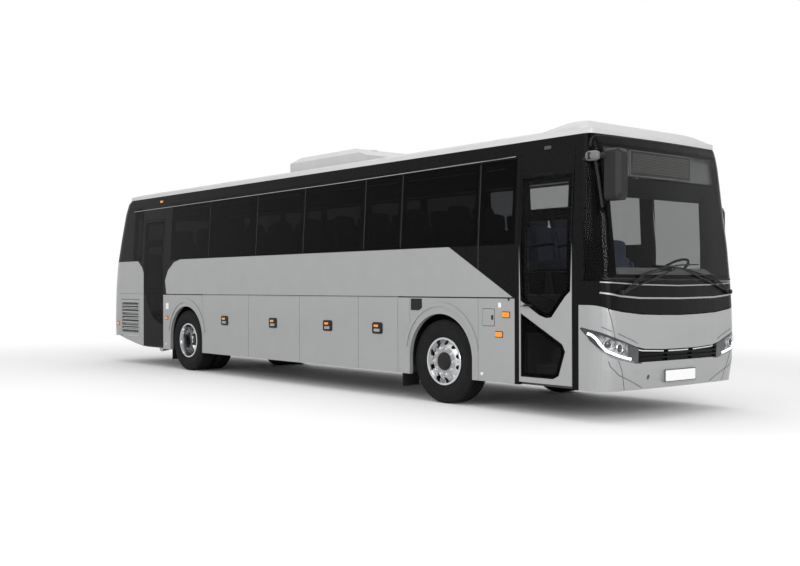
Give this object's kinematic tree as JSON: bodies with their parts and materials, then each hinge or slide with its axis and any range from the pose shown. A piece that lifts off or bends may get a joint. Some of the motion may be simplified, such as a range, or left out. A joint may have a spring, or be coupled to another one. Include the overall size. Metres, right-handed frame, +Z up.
{
  "type": "coach bus",
  "caption": "High-floor touring coach with swing-out doors, top-hung luggage flaps, wraparound screen, steered front wheels and twin rear wheels.",
  "frame": {"origin": "on the ground, midway along the length and the width", "axes": "+X forward, +Y to the coach's left, +Z up"},
  "size_m": [12, 2.8959, 3.46],
  "materials": {
    "body_paint": "gloss",
    "roof_paint": "gloss",
    "black_paint": "gloss",
    "black_plastic": "satin",
    "dark_glass": "gloss",
    "lamp_clear": "gloss",
    "lamp_red": "gloss",
    "floor_covering": "matte",
    "chassis_paint": "satin",
    "wheel_metal": "polished",
    "tyre": "matte",
    "seat_cloth": "matte",
    "arm_steel": "satin",
    "flap_rubber": "matte"
  },
  "bodies": {
    "coach_body": {"bulkheads": "floor_covering", "dashboard": "black_plastic", "destination_sign": "black_plastic", "engine": "chassis_paint", "floors": "floor_covering", "frame_rails": "chassis_paint", "front_axle": "chassis_paint", "front_grille": "black_plastic", "front_mask": "body_paint", "headlamps": "lamp_clear", "hinge_rails": "black_paint", "mirrors": "black_plastic", "mudflaps": "flap_rubber", "rear_axle": "chassis_paint", "rear_panel": "body_paint", "rear_window_frame": "black_paint", "roof": "roof_paint", "roof_units": "roof_paint", "screen_surround": "black_paint", "seats": "seat_cloth", "side_panels": "body_paint", "stairs": "floor_covering", "tail_lamps": "lamp_red", "tinted_glass": "dark_glass", "window_frames": "black_paint", "windscreen": "dark_glass", "wipers": "black_plastic"},
    "front_door_arm": {"front_door_arm": "arm_steel"},
    "front_door": {"front_door_leaf": "black_paint", "front_door_skin": "body_paint", "front_door_glass": "dark_glass"},
    "rear_door_arm": {"rear_door_arm": "arm_steel"},
    "rear_door": {"rear_door_leaf": "black_paint", "rear_door_skin": "body_paint", "rear_door_glass": "dark_glass"},
    "side_grille_right": {"side_grille_right": "body_paint"},
    "side_grille_left": {"side_grille_left": "body_paint"},
    "engine_lid": {"engine_lid": "body_paint"},
    "front_flap": {"front_flap": "body_paint"},
    "steering_wheel": {"steering_wheel": "black_plastic"},
    "knuckle_left": {"knuckle_left": "chassis_paint"},
    "knuckle_right": {"knuckle_right": "chassis_paint"},
    "tie_rod": {"tie_rod": "chassis_paint"},
    "wheel_front_left": {"tyre_front_left": "tyre", "rim_front_left": "wheel_metal"},
    "wheel_front_right": {"tyre_front_right": "tyre", "rim_front_right": "wheel_metal"},
    "wheel_rear_left": {"tyres_rear_left": "tyre", "rim_rear_left": "wheel_metal"},
    "wheel_rear_right": {"tyres_rear_right": "tyre", "rim_rear_right": "wheel_metal"},
    "luggage_flap_1_right": {"luggage_flap_1_right": "body_paint"},
    "luggage_flap_1_left": {"luggage_flap_1_left": "body_paint"},
    "luggage_flap_2_right": {"luggage_flap_2_right": "body_paint"},
    "luggage_flap_2_left": {"luggage_flap_2_left": "body_paint"},
    "luggage_flap_3_right": {"luggage_flap_3_right": "body_paint"},
    "luggage_flap_3_left": {"luggage_flap_3_left": "body_paint"},
    "luggage_flap_4_right": {"luggage_flap_4_right": "body_paint"},
    "luggage_flap_4_left": {"luggage_flap_4_left": "body_paint"}
  },
  "joints": [
    {"name": "front_door_arm_turn", "type": "hinge", "parent": "coach_body", "child": "front_door_arm", "pos_m": [5.27, -1.145, 1.5], "axis": [0, 0, 1], "range_deg": [0, 152]},
    {"name": "front_door_leaf_turn", "type": "hinge", "parent": "front_door_arm", "child": "front_door", "pos_m": [4.86, -1.145, 1.5], "axis": [0, 0, 1], "range_deg": [-152, 0]},
    {"name": "rear_door_arm_turn", "type": "hinge", "parent": "coach_body", "child": "rear_door_arm", "pos_m": [-3.89, -1.145, 1.5], "axis": [0, 0, 1], "range_deg": [0, 152]},
    {"name": "rear_door_leaf_turn", "type": "hinge", "parent": "rear_door_arm", "child": "rear_door", "pos_m": [-4.3, -1.145, 1.5], "axis": [0, 0, 1], "range_deg": [-152, 0]},
    {"name": "luggage_flap_1_right_hinge", "type": "hinge", "parent": "coach_body", "child": "luggage_flap_1_right", "pos_m": [-1.715, -1.268, 1.315], "axis": [-1, 0, 0], "range_deg": [0, 90]},
    {"name": "luggage_flap_1_left_hinge", "type": "hinge", "parent": "coach_body", "child": "luggage_flap_1_left", "pos_m": [-1.715, 1.268, 1.315], "axis": [1, 0, 0], "range_deg": [0, 90]},
    {"name": "luggage_flap_2_right_hinge", "type": "hinge", "parent": "coach_body", "child": "luggage_flap_2_right", "pos_m": [-0.325, -1.268, 1.315], "axis": [-1, 0, 0], "range_deg": [0, 90]},
    {"name": "luggage_flap_2_left_hinge", "type": "hinge", "parent": "coach_body", "child": "luggage_flap_2_left", "pos_m": [-0.325, 1.268, 1.315], "axis": [1, 0, 0], "range_deg": [0, 90]},
    {"name": "luggage_flap_3_right_hinge", "type": "hinge", "parent": "coach_body", "child": "luggage_flap_3_right", "pos_m": [1.04, -1.268, 1.315], "axis": [-1, 0, 0], "range_deg": [0, 90]},
    {"name": "luggage_flap_3_left_hinge", "type": "hinge", "parent": "coach_body", "child": "luggage_flap_3_left", "pos_m": [1.04, 1.268, 1.315], "axis": [1, 0, 0], "range_deg": [0, 90]},
    {"name": "luggage_flap_4_right_hinge", "type": "hinge", "parent": "coach_body", "child": "luggage_flap_4_right", "pos_m": [2.125, -1.268, 1.315], "axis": [-1, 0, 0], "range_deg": [0, 90]},
    {"name": "luggage_flap_4_left_hinge", "type": "hinge", "parent": "coach_body", "child": "luggage_flap_4_left", "pos_m": [2.125, 1.268, 1.315], "axis": [1, 0, 0], "range_deg": [0, 90]},
    {"name": "side_grille_right_hinge", "type": "hinge", "parent": "coach_body", "child": "side_grille_right", "pos_m": [-5.115, -1.268, 1.21], "axis": [-1, 0, 0], "range_deg": [0, 90]},
    {"name": "side_grille_left_hinge", "type": "hinge", "parent": "coach_body", "child": "side_grille_left", "pos_m": [-5.115, 1.268, 1.21], "axis": [1, 0, 0], "range_deg": [0, 90]},
    {"name": "engine_lid_hinge", "type": "hinge", "parent": "coach_body", "child": "engine_lid", "pos_m": [-5.96425, 0, 1.42], "axis": [0, 1, 0], "range_deg": [0, 85]},
    {"name": "front_flap_hinge", "type": "hinge", "parent": "coach_body", "child": "front_flap", "pos_m": [5.705, 0, 1.285], "axis": [0, -1, 0], "range_deg": [0, 75]},
    {"name": "steer_left", "type": "hinge", "parent": "coach_body", "child": "knuckle_left", "pos_m": [3.31, 0.96, 0.522], "axis": [0, 0, 1], "range_deg": [-45, 45]},
    {"name": "steer_right", "type": "hinge", "parent": "coach_body", "child": "knuckle_right", "pos_m": [3.31, -0.96, 0.522], "axis": [0, 0, 1], "range_deg": [-45, 45]},
    {"name": "tie_rod_turn", "type": "hinge", "parent": "knuckle_left", "child": "tie_rod", "pos_m": [3.14, 0.96, 0.39], "axis": [0, 0, 1], "range_deg": [-45, 45]},
    {"name": "steering_wheel_turn", "type": "hinge", "parent": "coach_body", "child": "steering_wheel", "pos_m": [5.3, 0.62, 1.64], "axis": [-0.5736, 0, 0.8192], "range_deg": [-720, 720]},
    {"name": "wheel_front_left_spin", "type": "hinge", "parent": "knuckle_left", "child": "wheel_front_left", "pos_m": [3.31, 1.075, 0.522], "axis": [0, 1, 0], "continuous": true},
    {"name": "wheel_front_right_spin", "type": "hinge", "parent": "knuckle_right", "child": "wheel_front_right", "pos_m": [3.31, -1.075, 0.522], "axis": [0, 1, 0], "continuous": true},
    {"name": "wheel_rear_left_spin", "type": "hinge", "parent": "coach_body", "child": "wheel_rear_left", "pos_m": [-2.99, 0.923, 0.522], "axis": [0, 1, 0], "continuous": true},
    {"name": "wheel_rear_right_spin", "type": "hinge", "parent": "coach_body", "child": "wheel_rear_right", "pos_m": [-2.99, -0.923, 0.522], "axis": [0, 1, 0], "continuous": true}
  ],
  "couplings": [
    {"joint": "front_door_leaf_turn", "follows": "front_door_arm_turn", "ratio": -1},
    {"joint": "rear_door_leaf_turn", "follows": "rear_door_arm_turn", "ratio": -1},
    {"joint": "steer_right", "follows": "steer_left", "ratio": 1},
    {"joint": "tie_rod_turn", "follows": "steer_left", "ratio": -1},
    {"joint": "steering_wheel_turn", "follows": "steer_left", "ratio": 16}
  ]
}
